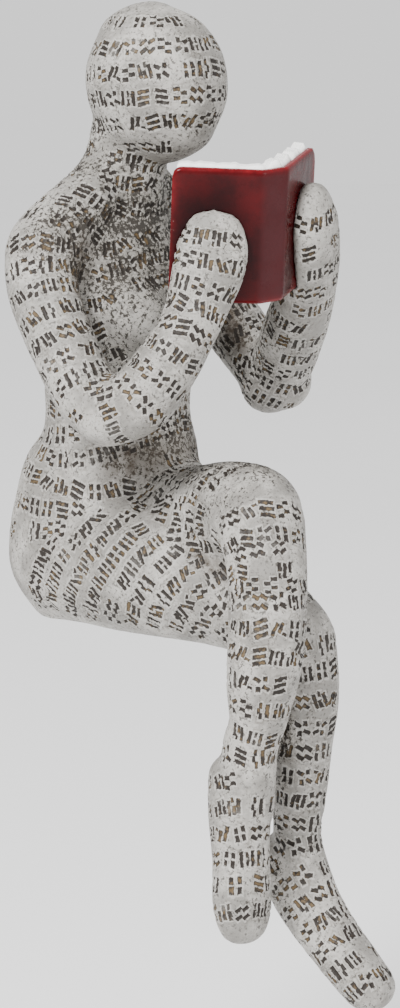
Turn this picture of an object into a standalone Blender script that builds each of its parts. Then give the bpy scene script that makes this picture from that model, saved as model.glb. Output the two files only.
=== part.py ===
"""A cast resin shelf figurine: a seated woman with crossed legs, reading a book.

She sits on the flat underside of her seat, with her legs hanging over the shelf's edge.
+Z is up, she faces -Y, her left hand is towards +X, and the origin is on the seat's face.
"""

import math

import bpy
import numpy as np

# Crown to lowest toe. The figure's pose and proportions below are shares of it, in 173rds.
FIGURE_HEIGHT = 0.173
HEIGHT_SHARES = 173
SHARE = FIGURE_HEIGHT / HEIGHT_SHARES

# How finely the figure is fused, softened and thinned.
VOXEL = 0.75 * SHARE
TRUNK_SMOOTH_COUNT = 30
SMOOTH_COUNT = 8
FIGURE_TRIANGLES = 7600
# Softening draws the surface in, so every limb starts this many shares thicker.
SWELL = 0.35
RING_SIDES = 28
RINGS_PER_SPAN = 4
DOME_ANGLES = (35, 62, 82)
BALL_ANGLES = (-60, -30, 0, 30, 60)

# The book, as shares of the figure's height: it keeps its place and size in the hands.
BOOK_HEIGHT = 24.0 * SHARE
BOARD_WIDTH = 16.0 * SHARE
BOARD_TAPER = 1.0 * SHARE
SPINE_WIDTH = 5.0 * SHARE
PAGE_THICKNESS = 3.0 * SHARE
BOOK_PLACE = (-5.0 * SHARE, -35.7 * SHARE, 59.7 * SHARE)
# Its boards, edges and fit, in metres.
BOARD_THICKNESS = 0.0013
PAGE_INSET = 0.0009
PAGE_RISE = 0.0005
FIT_GAP = 0.0003
# Its opening and how it is held, in degrees.
BOARD_OPENING = 36
BOOK_TURN = -19
BOOK_LEAN = 10
BOOK_ROLL = -4.5

# The space below the seat: the shelf may come as far forward as its front.
SEAT_FRONT = -37.0 * SHARE
SEAT_BACK = 30.0 * SHARE
SEAT_HALF_WIDTH = 30.0 * SHARE
SEAT_DEPTH = 10.0 * SHARE

# Each station is x, y, z, half-width along the side direction, half-depth across it.
SIDEWAYS = (1, 0, 0)
UPWARDS = (0, 0, 1)
TORSO = [
    (0, 2.0, 9.6, 14, 11.5),
    (0, 2.6, 16, 18.0, 14.6),
    (0, 1.6, 23, 18.2, 15.0),
    (0, -0.6, 30, 16.2, 13.8),
    (0, -0.6, 36.5, 14.8, 11.7),
    (0, -0.9, 46, 15.4, 12.2),
    (0, -1.0, 57, 17.2, 12.2),
    (0, 0.0, 66, 17.2, 10.8),
    (0, 0.4, 72, 12, 9),
]
NECK = [
    (0, -0.5, 70, 11, 8.5),
    (0, -1.8, 78, 8.2, 7.6),
    (0, -3.4, 86, 7.2, 7.0),
    (0, -6.0, 93, 7.0, 8.0),
]
SHOULDER = [
    (-3, -1.6, 82.0, 4.0, 5.0),
    (-10, -0.4, 75.6, 5.6, 6.2),
    (-16.5, 0.2, 70.8, 6.6, 6.8),
    (-20.2, 0.2, 67.8, 7.0, 7.0),
]
UPPER_ARM = [
    (-20.2, 0.2, 68.0, 6.6, 6.8),
    (-22.2, -0.9, 63.5, 6.2, 6.3),
    (-23.9, -3.6, 58.5, 5.8, 5.9),
    (-25.4, -9.2, 50.5, 5.5, 5.6),
    (-26.4, -14.2, 44.6, 5.6, 5.6),
    (-26.5, -18.6, 41.6, 5.6, 5.6),
]
NEAR_FOREARM = [
    (-26.5, -18.6, 41.6, 5.6, 5.6),
    (-24.5, -23.8, 44.0, 5.7, 5.7),
    (-20.5, -27.6, 50.8, 5.3, 5.4),
    (-17.2, -29.0, 56.0, 4.9, 4.6),
    (-14.8, -29.6, 60.4, 5.3, 3.8),
    (-13.2, -30.6, 66.2, 6.2, 3.2),
    (-12.4, -31.0, 70.4, 6.0, 3.0),
    (-11.9, -31.2, 73.8, 4.8, 2.4),
]
NEAR_PALM = (-0.588, 0.809, 0)
FAR_FOREARM = [
    (26.3, -16.2, 40.6, 5.4, 5.4),
    (23.8, -21.2, 46.4, 5.8, 5.6),
    (19.2, -27.2, 54.0, 6.0, 5.4),
    (15.0, -32.2, 60.8, 5.8, 4.8),
    (10.6, -36.3, 68.0, 6.0, 4.2),
    (7.8, -38.2, 73.6, 5.8, 3.8),
    (6.8, -38.6, 77.0, 4.4, 3.0),
]
FAR_PALM = (0.97, 0.24, 0)
UNDER_THIGH = [
    (-9, 4.0, 12.0, 11.0, 11.8),
    (-10.2, -8, 11.6, 11.4, 12.0),
    (-10.2, -20, 10.7, 11.0, 11.4),
    (-9.8, -33, 8.2, 9.2, 9.4),
    (-9, -44.8, 3.2, 7.4, 7.6),
]
UNDER_SHIN = [
    (-9, -46.2, 2.4, 6.8, 7.0),
    (-9, -47.8, -7, 6.2, 6.3),
    (-9, -47.7, -16, 5.2, 5.4),
    (-9, -47.2, -26, 4.5, 4.7),
    (-9, -47.0, -33, 3.8, 4.0),
    (-9, -48.2, -39, 4.3, 4.2),
    (-9, -51.0, -45, 4.4, 4.0),
]
UNDER_FOOT = [
    (-9, -43.2, -38.0, 4.2, 4.2),
    (-9, -49.0, -44.8, 5.2, 5.2),
    (-9, -55.6, -51.8, 5.5, 4.4),
    (-9, -62.6, -58.4, 5.4, 3.9),
]
OVER_THIGH = [
    (8, 4.0, 11.8, 11.4, 12.2),
    (3.5, -8, 17.4, 10.8, 11.4),
    (-3.0, -20, 19.2, 10.2, 10.0),
    (-9, -33, 23.0, 9.0, 9.0),
    (-13.6, -41.0, 24.4, 8.4, 8.4),
]
OVER_SHIN = [
    (-15.8, -43.6, 23.4, 7.4, 7.4),
    (-19.2, -47.4, 16, 6.6, 6.6),
    (-21, -48.8, 6, 6.4, 6.4),
    (-22.2, -48.6, -2, 6.0, 6.1),
    (-22.8, -48.0, -10, 4.6, 4.7),
    (-23, -46.6, -14, 4.4, 4.6),
    (-23.3, -46.4, -20, 4.6, 4.6),
    (-23.7, -46.2, -26, 4.9, 4.4),
]
OVER_FOOT = [
    (-23, -43.0, -20.4, 4.1, 4.3),
    (-23.5, -44.6, -26, 5.2, 5.0),
    (-24.5, -45.8, -34, 5.2, 4.4),
    (-25.5, -46.8, -41, 6.0, 4.2),
    (-25.8, -47.2, -45.0, 5.4, 3.6),
]
# Centres, and half-sizes across, front to back and up.
BREAST_CENTRE = (7.8, -9.8, 56.0)
BREAST_RADII = (6.6, 6.4, 7.0)
BUTTOCK_CENTRE = (9.0, 5.4, 14.2)
BUTTOCK_RADII = (9.6, 9.4, 15.6)
# The head is an egg whose small end is the chin, tipped forward over the book.
HEAD_CENTRE = (0, -9.7, 97.2)
HEAD_RADII = (11.5, 12.9, 14.3)
HEAD_TIP = 25
CHIN_TAPER = 0.05


# Colour, roughness and metallic value of each piece's finish.
RESIN = ((0.56, 0.54, 0.51), 0.62, 0.0)
RED_GLOSS = ((0.15, 0.018, 0.022), 0.25, 0.0)
PAPER_WHITE = ((0.78, 0.76, 0.72), 0.55, 0.0)


def clear_scene():
    for old in list(bpy.data.objects):
        bpy.data.objects.remove(old, do_unlink=True)


def spline(stations, per_span):
    """Rows along a Catmull-Rom curve through the stations, every value interpolated alike."""
    rows = np.array(stations, float)
    padded = np.vstack([2 * rows[0] - rows[1], rows, 2 * rows[-1] - rows[-2]])
    t = np.linspace(0, 1, per_span, endpoint=False)[:, None]
    spans = []
    for a, b, c, d in zip(padded, padded[1:], padded[2:], padded[3:]):
        bend = 2 * a - 5 * b + 4 * c - d
        twist = 3 * b - a - 3 * c + d
        spans.append(0.5 * (2 * b + (c - a) * t + bend * t**2 + twist * t**3))
    return np.vstack(spans + [rows[-1:]])


def limb(stations, side=SIDEWAYS, mirror=1, end_rise=1.0):
    """Points and faces of a round-ended limb: ellipses square to a smooth path.

    Each end closes in a dome that stands out by end_rise times its last half-width.
    """
    rows = spline(stations, RINGS_PER_SPAN)
    rows[:, 0] *= mirror
    rows[:, 3:] += SWELL
    centre, wide, deep = rows[:, :3], rows[:, 3], rows[:, 4]
    along = np.gradient(centre, axis=0)
    along /= np.linalg.norm(along, axis=1, keepdims=True)
    rise = np.sin(np.radians(DOME_ANGLES)) * end_rise
    shrink = np.cos(np.radians(DOME_ANGLES))
    first = centre[0] - np.outer(rise * min(wide[0], deep[0]), along[0])
    last = centre[-1] + np.outer(rise * min(wide[-1], deep[-1]), along[-1])
    centre = np.vstack([first[::-1], centre, last])
    ends = len(DOME_ANGLES)
    along = np.vstack([np.tile(along[0], (ends, 1)), along, np.tile(along[-1], (ends, 1))])
    wide = np.concatenate([wide[0] * shrink[::-1], wide, wide[-1] * shrink])
    deep = np.concatenate([deep[0] * shrink[::-1], deep, deep[-1] * shrink])
    sideways = np.array(side, float)
    across = sideways - np.outer(along @ sideways, np.ones(3)) * along
    across /= np.linalg.norm(across, axis=1, keepdims=True)
    depth = np.cross(along, across)
    turn = np.linspace(0, 2 * math.pi, RING_SIDES, endpoint=False)
    rings = (
        centre[:, None]
        + across[:, None] * np.outer(wide, np.cos(turn))[..., None]
        + depth[:, None] * np.outer(deep, np.sin(turn))[..., None]
    )
    index = np.arange(len(rings) * RING_SIDES).reshape(-1, RING_SIDES)
    ahead = np.roll(index, -1, axis=1)
    walls = np.stack([index[:-1], ahead[:-1], ahead[1:], index[1:]], -1).reshape(-1, 4)
    faces = [*walls.tolist(), index[0][::-1].tolist(), index[-1].tolist()]
    return rings.reshape(-1, 3) * SHARE, faces


def egg(centre, radii, tip=0, taper=0, mirror=1):
    """An ellipsoid whose upright axis tips back by tip degrees, its low end narrower by taper."""
    x, y, z = centre
    wide, deep, tall = radii
    back = math.sin(math.radians(tip))
    up = math.cos(math.radians(tip))
    stations = []
    for angle in BALL_ANGLES:
        climb = math.sin(math.radians(angle))
        width = math.cos(math.radians(angle)) * (1 + taper * min(climb, 0))
        lift = tall * climb
        stations.append((x, y + lift * back, z + lift * up, wide * width, deep * width))
    last = math.radians(BALL_ANGLES[-1])
    end_rise = tall * (1 - math.sin(last)) / (min(wide, deep) * math.cos(last))
    return limb(stations, mirror=mirror, end_rise=end_rise)


def finish(name, colour, roughness, metallic):
    made = bpy.data.materials.new(name)
    made.use_nodes = True
    shader = made.node_tree.nodes["Principled BSDF"]
    shader.inputs["Base Color"].default_value = (*colour, 1)
    shader.inputs["Roughness"].default_value = roughness
    shader.inputs["Metallic"].default_value = metallic
    made.diffuse_color = (*colour, 1)
    return made


def mesh_object(name, shapes):
    points, faces = [], []
    start = 0
    for shape_points, shape_faces in shapes:
        points.append(shape_points)
        faces += [[corner + start for corner in face] for face in shape_faces]
        start += len(shape_points)
    mesh = bpy.data.meshes.new(name)
    mesh.from_pydata(np.vstack(points).tolist(), [], faces)
    made = bpy.data.objects.new(name, mesh)
    bpy.context.scene.collection.objects.link(made)
    return made


def book_run(board_width):
    """The outer corners of the open cover in plan: free edge, two spine corners, free edge.

    The near spine corner is the origin, +X runs along the spine and +Y towards the reader.
    """
    opening = math.radians(BOARD_OPENING)
    reach = board_width * math.cos(opening)
    rise = board_width * math.sin(opening)
    return np.array([(-reach, rise), (0, 0), (SPINE_WIDTH, 0), (SPINE_WIDTH + reach, rise)])


def offset_run(corners, distance):
    """The run moved towards the reader by a distance, square to each stretch and mitred."""
    steps = np.diff(corners, axis=0)
    steps /= np.linalg.norm(steps, axis=1, keepdims=True)
    sides = np.stack([-steps[:, 1], steps[:, 0]], -1)
    middle = np.vstack([sides[:1] * 2, sides[1:] + sides[:-1], sides[-1:] * 2])
    reach = 2 * distance / (middle * middle).sum(axis=1, keepdims=True)
    return corners + middle * reach


def prism(low_outline, high_outline, low, high):
    """A solid between two level outlines of as many corners."""
    count = len(low_outline)
    points = [(*corner, low) for corner in low_outline]
    points += [(*corner, high) for corner in high_outline]
    faces = [list(range(count))[::-1], list(range(count, 2 * count))]
    for i in range(count):
        j = (i + 1) % count
        faces.append([i, j, count + j, count + i])
    return np.array(points), faces


def book_strip(board_width, outer, inner, low, high):
    """A solid along the open cover's run, between two distances from its outside."""
    outlines = []
    for width in (board_width, board_width - BOARD_TAPER):
        run = book_run(width)
        outlines.append(np.vstack([offset_run(run, outer), offset_run(run, inner)[::-1]]))
    return prism(*outlines, low, high)


def place_in_hands(piece):
    """The book leans back from the reader, rolls a little and turns to her right."""
    piece.location = BOOK_PLACE
    piece.rotation_euler = [math.radians(a) for a in (BOOK_LEAN, BOOK_ROLL, BOOK_TURN)]
    return piece


def book_cover():
    """Two boards and the spine, as one bent strip."""
    strip = book_strip(BOARD_WIDTH, 0, BOARD_THICKNESS, 0, BOOK_HEIGHT)
    cover = place_in_hands(mesh_object("book_cover", [strip]))
    cover.data.materials.append(finish("red_gloss", *RED_GLOSS))


def book_room():
    """What the hands leave free for the book: its covers and pages, with the gap all round."""
    depth = BOARD_THICKNESS + FIT_GAP + PAGE_THICKNESS
    room = book_strip(
        BOARD_WIDTH + FIT_GAP,
        -FIT_GAP,
        depth + FIT_GAP,
        -FIT_GAP,
        BOOK_HEIGHT + PAGE_RISE + FIT_GAP,
    )
    return as_cutter(place_in_hands(mesh_object("book_room", [room])))


def shelf_room():
    """The space under the seat, as deep and as wide as the seat needs."""
    x, front, back = SEAT_HALF_WIDTH, SEAT_FRONT, SEAT_BACK
    outline = [(-x, front), (x, front), (x, back), (-x, back)]
    return as_cutter(mesh_object("shelf_room", [prism(outline, outline, -SEAT_DEPTH, 0)]))


def as_cutter(piece):
    piece.hide_render = True
    piece.display_type = "WIRE"
    return piece


def book_pages():
    """The pages lie open against the inside of the boards, just clear of them."""
    inside = BOARD_THICKNESS + FIT_GAP
    block = book_strip(
        BOARD_WIDTH - PAGE_INSET,
        inside,
        inside + PAGE_THICKNESS,
        PAGE_INSET,
        BOOK_HEIGHT + PAGE_RISE,
    )
    pages = place_in_hands(mesh_object("book_pages", [block]))
    pages.data.materials.append(finish("paper_white", *PAPER_WHITE))


def trunk_shapes():
    shapes = [limb(TORSO), limb(NECK), limb(UNDER_THIGH), limb(OVER_THIGH)]
    for mirror in (1, -1):
        shapes.append(limb(SHOULDER, side=UPWARDS, mirror=mirror))
        shapes.append(egg(BREAST_CENTRE, BREAST_RADII, mirror=mirror))
        shapes.append(egg(BUTTOCK_CENTRE, BUTTOCK_RADII, mirror=mirror))
    return shapes


def limb_shapes():
    return [
        egg(HEAD_CENTRE, HEAD_RADII, tip=HEAD_TIP, taper=CHIN_TAPER),
        limb(UPPER_ARM),
        limb(UPPER_ARM, mirror=-1),
        limb(NEAR_FOREARM, side=NEAR_PALM),
        limb(FAR_FOREARM, side=FAR_PALM),
        limb(UNDER_SHIN),
        limb(UNDER_FOOT),
        limb(OVER_SHIN),
        limb(OVER_FOOT),
    ]


def fuse(piece, smooth_rounds):
    """Overlapping shapes become one skin, and its creases soften."""
    skin = piece.modifiers.new("fuse", "REMESH")
    skin.mode = "VOXEL"
    skin.voxel_size = VOXEL
    soften = piece.modifiers.new("soften", "SMOOTH")
    soften.factor = 0.5
    soften.iterations = smooth_rounds


def finished_shape(piece):
    """The points and faces of an object after its modifiers, and the object removed."""
    graph = bpy.context.evaluated_depsgraph_get()
    evaluated = piece.evaluated_get(graph)
    mesh = evaluated.to_mesh()
    points = np.empty(len(mesh.vertices) * 3)
    mesh.vertices.foreach_get("co", points)
    faces = [list(face.vertices) for face in mesh.polygons]
    evaluated.to_mesh_clear()
    bpy.data.objects.remove(piece, do_unlink=True)
    return points.reshape(-1, 3), faces


def triangle_count(piece):
    """How many triangles the object has after the modifiers it has so far."""
    graph = bpy.context.evaluated_depsgraph_get()
    evaluated = piece.evaluated_get(graph)
    mesh = evaluated.to_mesh()
    count = sum(len(face.vertices) - 2 for face in mesh.polygons)
    evaluated.to_mesh_clear()
    return count


def cut_away(piece, cutter):
    cut = piece.modifiers.new(cutter.name, "BOOLEAN")
    cut.operation = "DIFFERENCE"
    cut.solver = "EXACT"
    cut.object = cutter


def woman():
    """Limbs, trunk and head fused into one casting, flat below the seat."""
    trunk = mesh_object("trunk", trunk_shapes())
    fuse(trunk, TRUNK_SMOOTH_COUNT)
    figure = mesh_object("woman", [finished_shape(trunk), *limb_shapes()])
    fuse(figure, SMOOTH_COUNT)
    whole = triangle_count(figure)
    thin = figure.modifiers.new("thin", "DECIMATE")
    thin.ratio = FIGURE_TRIANGLES / whole
    cut_away(figure, shelf_room())
    cut_away(figure, book_room())
    figure.data.materials.append(finish("resin", *RESIN))
    figure.data.shade_smooth()


def main():
    clear_scene()
    woman()
    book_cover()
    book_pages()


main()
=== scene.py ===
import math

import bmesh
import bpy
import numpy as np
from mathutils import Euler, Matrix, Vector


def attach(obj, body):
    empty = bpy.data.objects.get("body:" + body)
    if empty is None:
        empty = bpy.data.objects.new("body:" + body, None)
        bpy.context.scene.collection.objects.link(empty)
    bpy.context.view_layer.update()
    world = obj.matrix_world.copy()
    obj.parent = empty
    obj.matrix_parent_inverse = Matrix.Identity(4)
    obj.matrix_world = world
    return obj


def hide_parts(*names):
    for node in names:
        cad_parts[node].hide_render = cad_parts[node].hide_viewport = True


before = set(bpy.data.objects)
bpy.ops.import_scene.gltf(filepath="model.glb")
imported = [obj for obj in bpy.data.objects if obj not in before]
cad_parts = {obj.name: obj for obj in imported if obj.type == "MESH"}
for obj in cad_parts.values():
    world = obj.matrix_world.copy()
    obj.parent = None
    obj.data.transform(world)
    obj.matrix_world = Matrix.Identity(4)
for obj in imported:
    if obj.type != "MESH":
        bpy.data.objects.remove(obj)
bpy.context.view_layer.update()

MM = 0.001

# The figure's stations, as the casting has them: x, y, z, half-width, half-depth, in mm.
SIDEWAYS = (1, 0, 0)
UPWARDS = (0, 0, 1)
TORSO = [
    (0, 2.0, 9.6, 14, 11.5), (0, 2.6, 16, 18.0, 14.6), (0, 1.6, 23, 18.2, 15.0),
    (0, -0.6, 30, 16.2, 13.8), (0, -0.6, 36.5, 14.8, 11.7), (0, -0.9, 46, 15.4, 12.2),
    (0, -1.0, 57, 17.2, 12.2), (0, 0.0, 66, 17.2, 10.8), (0, 0.4, 72, 12, 9),
]
NECK = [
    (0, -0.5, 70, 11, 8.5), (0, -1.8, 78, 8.2, 7.6), (0, -3.4, 86, 7.2, 7.0), (0, -6.0, 93, 7.0, 8.0),
]
SHOULDER = [
    (-3, -1.6, 82.0, 4.0, 5.0), (-10, -0.4, 75.6, 5.6, 6.2), (-16.5, 0.2, 70.8, 6.6, 6.8),
    (-20.2, 0.2, 67.8, 7.0, 7.0),
]
UPPER_ARM = [
    (-20.2, 0.2, 68.0, 6.6, 6.8), (-22.2, -0.9, 63.5, 6.2, 6.3), (-23.9, -3.6, 58.5, 5.8, 5.9),
    (-25.4, -9.2, 50.5, 5.5, 5.6), (-26.4, -14.2, 44.6, 5.6, 5.6), (-26.5, -18.6, 41.6, 5.6, 5.6),
]
NEAR_FOREARM = [
    (-26.5, -18.6, 41.6, 5.6, 5.6), (-24.5, -23.8, 44.0, 5.7, 5.7), (-20.5, -27.6, 50.8, 5.3, 5.4),
    (-17.2, -29.0, 56.0, 4.9, 4.6), (-14.8, -29.6, 60.4, 5.3, 3.8), (-13.2, -30.6, 66.2, 6.2, 3.2),
    (-12.4, -31.0, 70.4, 6.0, 3.0), (-11.9, -31.2, 73.8, 4.8, 2.4),
]
NEAR_PALM = (-0.588, 0.809, 0)
FAR_FOREARM = [
    (26.3, -16.2, 40.6, 5.4, 5.4), (23.8, -21.2, 46.4, 5.8, 5.6), (19.2, -27.2, 54.0, 6.0, 5.4),
    (15.0, -32.2, 60.8, 5.8, 4.8), (10.6, -36.3, 68.0, 6.0, 4.2),
    (7.8, -38.2, 73.6, 5.8, 3.8), (6.8, -38.6, 77.0, 4.4, 3.0),
]
FAR_PALM = (0.97, 0.24, 0)
UNDER_THIGH = [
    (-9, 4.0, 12.0, 11.0, 11.8), (-10.2, -8, 11.6, 11.4, 12.0), (-10.2, -20, 10.7, 11.0, 11.4),
    (-9.8, -33, 8.2, 9.2, 9.4), (-9, -44.8, 3.2, 7.4, 7.6),
]
UNDER_SHIN = [
    (-9, -46.2, 2.4, 6.8, 7.0), (-9, -47.8, -7, 6.2, 6.3), (-9, -47.7, -16, 5.2, 5.4),
    (-9, -47.2, -26, 4.5, 4.7), (-9, -47.0, -33, 3.8, 4.0), (-9, -48.2, -39, 4.3, 4.2),
    (-9, -51.0, -45, 4.4, 4.0),
]
UNDER_FOOT = [
    (-9, -43.2, -38.0, 4.2, 4.2), (-9, -49.0, -44.8, 5.2, 5.2), (-9, -55.6, -51.8, 5.5, 4.4),
    (-9, -62.6, -58.4, 5.4, 3.9),
]
OVER_THIGH = [
    (8, 4.0, 11.8, 11.4, 12.2), (3.5, -8, 17.4, 10.8, 11.4), (-3.0, -20, 19.2, 10.2, 10.0),
    (-9, -33, 23.0, 9.0, 9.0), (-13.6, -41.0, 24.4, 8.4, 8.4),
]
OVER_SHIN = [
    (-15.8, -43.6, 23.4, 7.4, 7.4), (-19.2, -47.4, 16, 6.6, 6.6), (-21, -48.8, 6, 6.4, 6.4),
    (-22.2, -48.6, -2, 6.0, 6.1), (-22.8, -48.0, -10, 4.6, 4.7), (-23, -46.6, -14, 4.4, 4.6),
    (-23.3, -46.4, -20, 4.6, 4.6), (-23.7, -46.2, -26, 4.9, 4.4),
]
OVER_FOOT = [
    (-23, -43.0, -20.4, 4.1, 4.3), (-23.5, -44.6, -26, 5.2, 5.0), (-24.5, -45.8, -34, 5.2, 4.4),
    (-25.5, -46.8, -41, 6.0, 4.2), (-25.8, -47.2, -45.0, 5.4, 3.6),
]
OVER_KNEE = [
    (-15.8, -41.5, 21, 9.0, 9.4), (-18.3, -44.6, 13, 8.8, 9.2), (-19.4, -45.4, 6, 8.4, 9.0),
    (-20.6, -45.8, -1, 7.4, 8.4),
]
BREAST = ((7.8, -9.8, 56.0), (6.6, 6.4, 7.0))
BUTTOCK = ((9.0, 5.4, 14.2), (9.6, 9.4, 15.6))
HEAD = ((0, -9.7, 97.2), (11.5, 12.9, 14.3))
HEAD_TIP = 25
CHIN_TAPER = 0.05
SWELL = 0.35
RING_SIDES = 28
VOXEL = 0.86
TRUNK_SMOOTH_ROUNDS = 30
SMOOTH_ROUNDS = 8

# The marks pressed into the skin, in mm.
ROW_STEP = 4.45
MARK_HALF_WIDTH = 1.34
MARK_HALF_HEIGHT = 1.50
MARK_PITCH = 3.1
MARK_GAP = 0.05
STROKE_HALF = 0.325
PRESS_DEPTH = 0.36
PRESS_WALL = 0.16
PRESS_LIP = 0.04
FAINT_PRESS = 0.65
FAINT_SHARE = 0.4
ROUGHNESS = 0.05
WAVINESS = 0.10
FINGER_GAP = 0.12
THIN_WASH = 0.24
MARK_SPACING = 2.45
MARK_LIFT = 2.7
MARK_REACH = 3.1
MARK_FACING = 0.64
MARK_CLEARANCE = 0.9
MARK_EXTENT = 3.2
MARK_HEIGHT_REACH = 1.6
FINE_BAND = 0.21
FINE_EDGE = 0.70
SEAT_FRONT = -37
SEAT_DIP = -6
SEAT_BAND = (-2, 1.8)
BOARD_DEPTH = 3.4

# The book, in mm and degrees.
BOOK_HEIGHT = 24.0
BOARD_WIDTH = 16.0
BOARD_THICKNESS = 1.3
SPINE_WIDTH = 5.0
PAGE_THICKNESS = 3.0
PAGE_INSET = 0.7
PAGE_FOOT = 0.9
PAGE_RISE = 0.3
PAGE_GAP = 0.02
PAGE_RUFFLE = 0.8
BOARD_CORNER = 1.7
PAGE_CORNER = 0.9
BOARD_OPENING = 36
BOOK_TURN = -19
BOOK_LEAN = 10
BOOK_ROLL = -4.5
BOOK_PLACE = np.array((-5.0, -35.7, 59.7))
NEAR_HAND = np.array((-13.2, -30.8, 68.0))
HAND_SHADE = 8.3
COVER_ROWS = (140, 40)
PAGE_ROWS = (160, 24)

# The studio, in metres and degrees, and the photograph's size in pixels.
VIEW_AZIMUTH = -54
VIEW_ELEVATION = 10
LENS = 120.0
SENSOR = 36
PIXEL = 0.000185
PHOTO_HEIGHT = 1008
ORIGIN_RIGHT = 84
ORIGIN_UP = 106
FLOOR_RADIUS = 2.5
FLOOR_LEVEL = -0.12
FLOOR_SIDES = 64


def spline(stations, per_span):
    """Rows along a Catmull-Rom curve through the stations, every value interpolated alike."""
    rows = np.array(stations, float)
    padded = np.vstack([2 * rows[0] - rows[1], rows, 2 * rows[-1] - rows[-2]])
    t = np.linspace(0, 1, per_span, endpoint=False)[:, None]
    spans = []
    for a, b, c, d in zip(padded, padded[1:], padded[2:], padded[3:]):
        bend = 2 * a - 5 * b + 4 * c - d
        twist = 3 * b - a - 3 * c + d
        spans.append(0.5 * (2 * b + (c - a) * t + bend * t**2 + twist * t**3))
    return np.vstack(spans + [rows[-1:]])


def limb_frames(rows, side):
    """Along, across and depth directions at each row: across is the side direction, squared to the path."""
    along = np.gradient(rows[:, :3], axis=0)
    along /= np.linalg.norm(along, axis=1, keepdims=True)
    side = np.array(side, float)
    across = side - (along @ side)[:, None] * along
    across /= np.linalg.norm(across, axis=1, keepdims=True)
    return along, across, np.cross(along, across)


def limb(stations, side=SIDEWAYS, mirror=1, end_rise=1.0):
    """A round-ended limb: centre, plus across by half-width by cosine, plus depth by half-depth by sine."""
    rows = spline(stations, 4)
    rows[:, 0] *= mirror
    rows[:, 3:] += SWELL
    along, across, depth = limb_frames(rows, side)
    centre, wide, deep = rows[:, :3], rows[:, 3], rows[:, 4]
    dome = np.radians((35, 62, 82))
    rise = np.sin(dome) * end_rise
    shrink = np.cos(dome)
    first = centre[0] - np.outer(rise * min(wide[0], deep[0]), along[0])
    last = centre[-1] + np.outer(rise * min(wide[-1], deep[-1]), along[-1])
    centre = np.vstack([first[::-1], centre, last])
    across = np.vstack([np.tile(across[0], (3, 1)), across, np.tile(across[-1], (3, 1))])
    depth = np.vstack([np.tile(depth[0], (3, 1)), depth, np.tile(depth[-1], (3, 1))])
    wide = np.concatenate([wide[0] * shrink[::-1], wide, wide[-1] * shrink])
    deep = np.concatenate([deep[0] * shrink[::-1], deep, deep[-1] * shrink])
    turn = np.linspace(0, 2 * math.pi, RING_SIDES, endpoint=False)
    rings = centre[:, None] + across[:, None] * np.outer(wide, np.cos(turn))[..., None]
    rings += depth[:, None] * np.outer(deep, np.sin(turn))[..., None]
    index = np.arange(len(rings) * RING_SIDES).reshape(-1, RING_SIDES)
    ahead = np.roll(index, -1, axis=1)
    walls = np.stack([index[:-1], ahead[:-1], ahead[1:], index[1:]], -1).reshape(-1, 4)
    faces = [*walls.tolist(), index[0][::-1].tolist(), index[-1].tolist()]
    return rings.reshape(-1, 3), faces


def egg_stations(shape, tip=0, taper=0, angles=(-60, -30, 0, 30, 60)):
    """Stations of an ellipsoid whose upright axis tips back: half-sizes follow the cosine of the climb."""
    (x, y, z), (wide, deep, tall) = shape
    back, up = math.sin(math.radians(tip)), math.cos(math.radians(tip))
    stations = []
    for angle in angles:
        climb = math.sin(math.radians(angle))
        width = math.cos(math.radians(angle)) * (1 + taper * min(climb, 0))
        stations.append((x, y + tall * climb * back, z + tall * climb * up, wide * width, deep * width))
    return stations


def egg(shape, tip=0, taper=0, mirror=1):
    """An ellipsoid as a limb whose domes close at its poles."""
    wide, deep, tall = shape[1]
    last = math.radians(60)
    end_rise = tall * (1 - math.sin(last)) / (min(wide, deep) * math.cos(last))
    return limb(egg_stations(shape, tip, taper), mirror=mirror, end_rise=end_rise)


def mesh_object(name, points, faces):
    mesh = bpy.data.meshes.new(name)
    mesh.from_pydata(points.tolist(), [], faces)
    made = bpy.data.objects.new(name, mesh)
    bpy.context.scene.collection.objects.link(made)
    return made


def joined(shapes):
    points, faces, start = [], [], 0
    for shape_points, shape_faces in shapes:
        points.append(shape_points)
        faces += [[corner + start for corner in face] for face in shape_faces]
        start += len(shape_points)
    return np.vstack(points), faces


def fused(shapes, smooth_rounds):
    """Overlapping shapes, in mm, become one softened skin: its points and its four-cornered faces."""
    points, faces = joined(shapes)
    piece = mesh_object("fusing", points * MM, faces)
    skin = piece.modifiers.new("fuse", "REMESH")
    skin.mode = "VOXEL"
    skin.voxel_size = VOXEL * MM
    soften = piece.modifiers.new("soften", "SMOOTH")
    soften.factor = 0.5
    soften.iterations = smooth_rounds
    evaluated = piece.evaluated_get(bpy.context.evaluated_depsgraph_get())
    mesh = evaluated.to_mesh()
    out = np.empty(len(mesh.vertices) * 3)
    mesh.vertices.foreach_get("co", out)
    corners = np.empty(len(mesh.loops), np.int32)
    mesh.loops.foreach_get("vertex_index", corners)
    evaluated.to_mesh_clear()
    bpy.data.objects.remove(piece, do_unlink=True)
    return out.reshape(-1, 3) / MM, corners.reshape(-1, 4)


def outer_shell(points, faces):
    """The largest connected shell alone: labels sink to the lowest one that their faces share."""
    label = np.arange(len(points))
    while True:
        lower = label.copy()
        np.minimum.at(lower, faces.reshape(-1), np.repeat(label[faces].min(axis=1), faces.shape[1]))
        lower = lower[lower]
        if (lower == label).all():
            break
        label = lower
    keep = label == np.bincount(label).argmax()
    renumbered = np.cumsum(keep) - 1
    return points[keep], renumbered[faces[keep[faces[:, 0]]]]


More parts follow.
